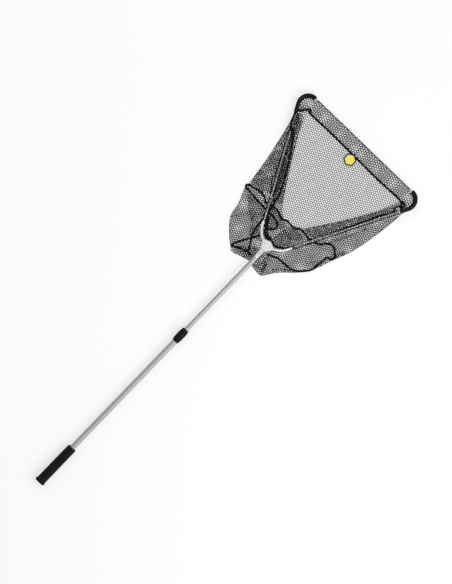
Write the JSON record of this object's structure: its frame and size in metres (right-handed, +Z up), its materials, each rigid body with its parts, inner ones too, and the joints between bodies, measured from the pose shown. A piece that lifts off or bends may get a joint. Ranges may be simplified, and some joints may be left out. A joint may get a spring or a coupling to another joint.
{
  "type": "landing net",
  "caption": "Folding landing net with a two-section telescopic handle, twist lock, cast hub, pivoting arms, front cord and a netting bag laid flat.",
  "frame": {"origin": "middle of the outline, on the floor that the net lies on", "axes": "+X from the butt along the handle to the front cord, +Y towards the left-hand arm, +Z up out of the bag's mouth"},
  "size_m": [1.879, 0.638, 0.044],
  "materials": {
    "tube_silver": "satin anodised",
    "cast_bright": "bright cast, tumbled",
    "arm_bright": "bright drawn tube",
    "steel": "plain",
    "grip_black": "finely ribbed, matt",
    "lock_black": "moulded, satin",
    "collet_white": "natural nylon",
    "corner_black": "moulded, satin",
    "net_black": "knotless knitted netting",
    "tape_black": "woven binding tape",
    "cord_black": "braided cord",
    "badge_rim": "matt",
    "badge_yellow": "matt"
  },
  "bodies": {
    "handle": {"outer_tube": "tube_silver", "grip_sleeve": "grip_black", "butt_cap": "grip_black", "tube_plug": "lock_black", "lock_base": "lock_black", "lock_collet": "collet_white"},
    "lock": {"lock_collar": "lock_black"},
    "pole": {"inner_tube": "tube_silver", "foot_bush": "lock_black", "tube_ferrule": "cast_bright", "fold_link": "cast_bright", "link_rivet": "steel", "fold_pin": "steel"},
    "head": {"hub_base": "cast_bright", "hub_cover": "cast_bright", "hub_screws": "steel", "arm_pins": "steel", "front_cord": "cord_black", "net_floor": "net_black", "net_front": "net_black", "net_rear": "net_black", "net_side_left": "net_black", "net_lobe_left": "net_black", "net_side_right": "net_black", "net_lobe_right": "net_black", "tape_front": "tape_black", "tape_rear": "tape_black", "tape_left": "tape_black", "tape_right": "tape_black", "seam_tape_left": "tape_black", "seam_tape_right": "tape_black", "badge_rim": "badge_rim", "badge_face": "badge_yellow"},
    "left_arm": {"arm_left": "arm_bright", "arm_eye_left": "cast_bright", "corner_tip_left": "corner_black", "cord_knot_left": "cord_black", "hem_left": "net_black"},
    "right_arm": {"arm_right": "arm_bright", "arm_eye_right": "cast_bright", "corner_tip_right": "corner_black", "cord_knot_right": "cord_black", "hem_right": "net_black"}
  },
  "joints": [
    {"name": "lock_turn", "type": "hinge", "parent": "handle", "child": "lock", "pos_m": [-0.12604, 0, 0.022], "axis": [1, 0, 0], "range_deg": [0, 150]},
    {"name": "handle_slide", "type": "slide", "parent": "handle", "child": "pole", "axis": [1, 0, 0], "range_m": [-0.34, 0]},
    {"name": "head_fold", "type": "hinge", "parent": "pole", "child": "head", "pos_m": [0.33646, 0, 0.033], "axis": [0, -1, 0], "range_deg": [0, 180]},
    {"name": "left_arm_fold", "type": "hinge", "parent": "head", "child": "left_arm", "pos_m": [0.37246, 0.0135, 0.022], "axis": [0, 0, -1], "range_deg": [0, 25], "deforming": ["front_cord", "net_floor", "net_front", "net_rear", "net_side_left", "net_lobe_left", "tape_front", "tape_rear", "tape_left", "seam_tape_left"]},
    {"name": "right_arm_fold", "type": "hinge", "parent": "head", "child": "right_arm", "pos_m": [0.37246, -0.0135, 0.022], "axis": [0, 0, 1], "range_deg": [0, 25], "deforming": ["net_side_right", "net_lobe_right", "tape_right", "seam_tape_right"]}
  ],
  "couplings": [
    {"joint": "right_arm_fold", "follows": "left_arm_fold", "ratio": 1}
  ]
}
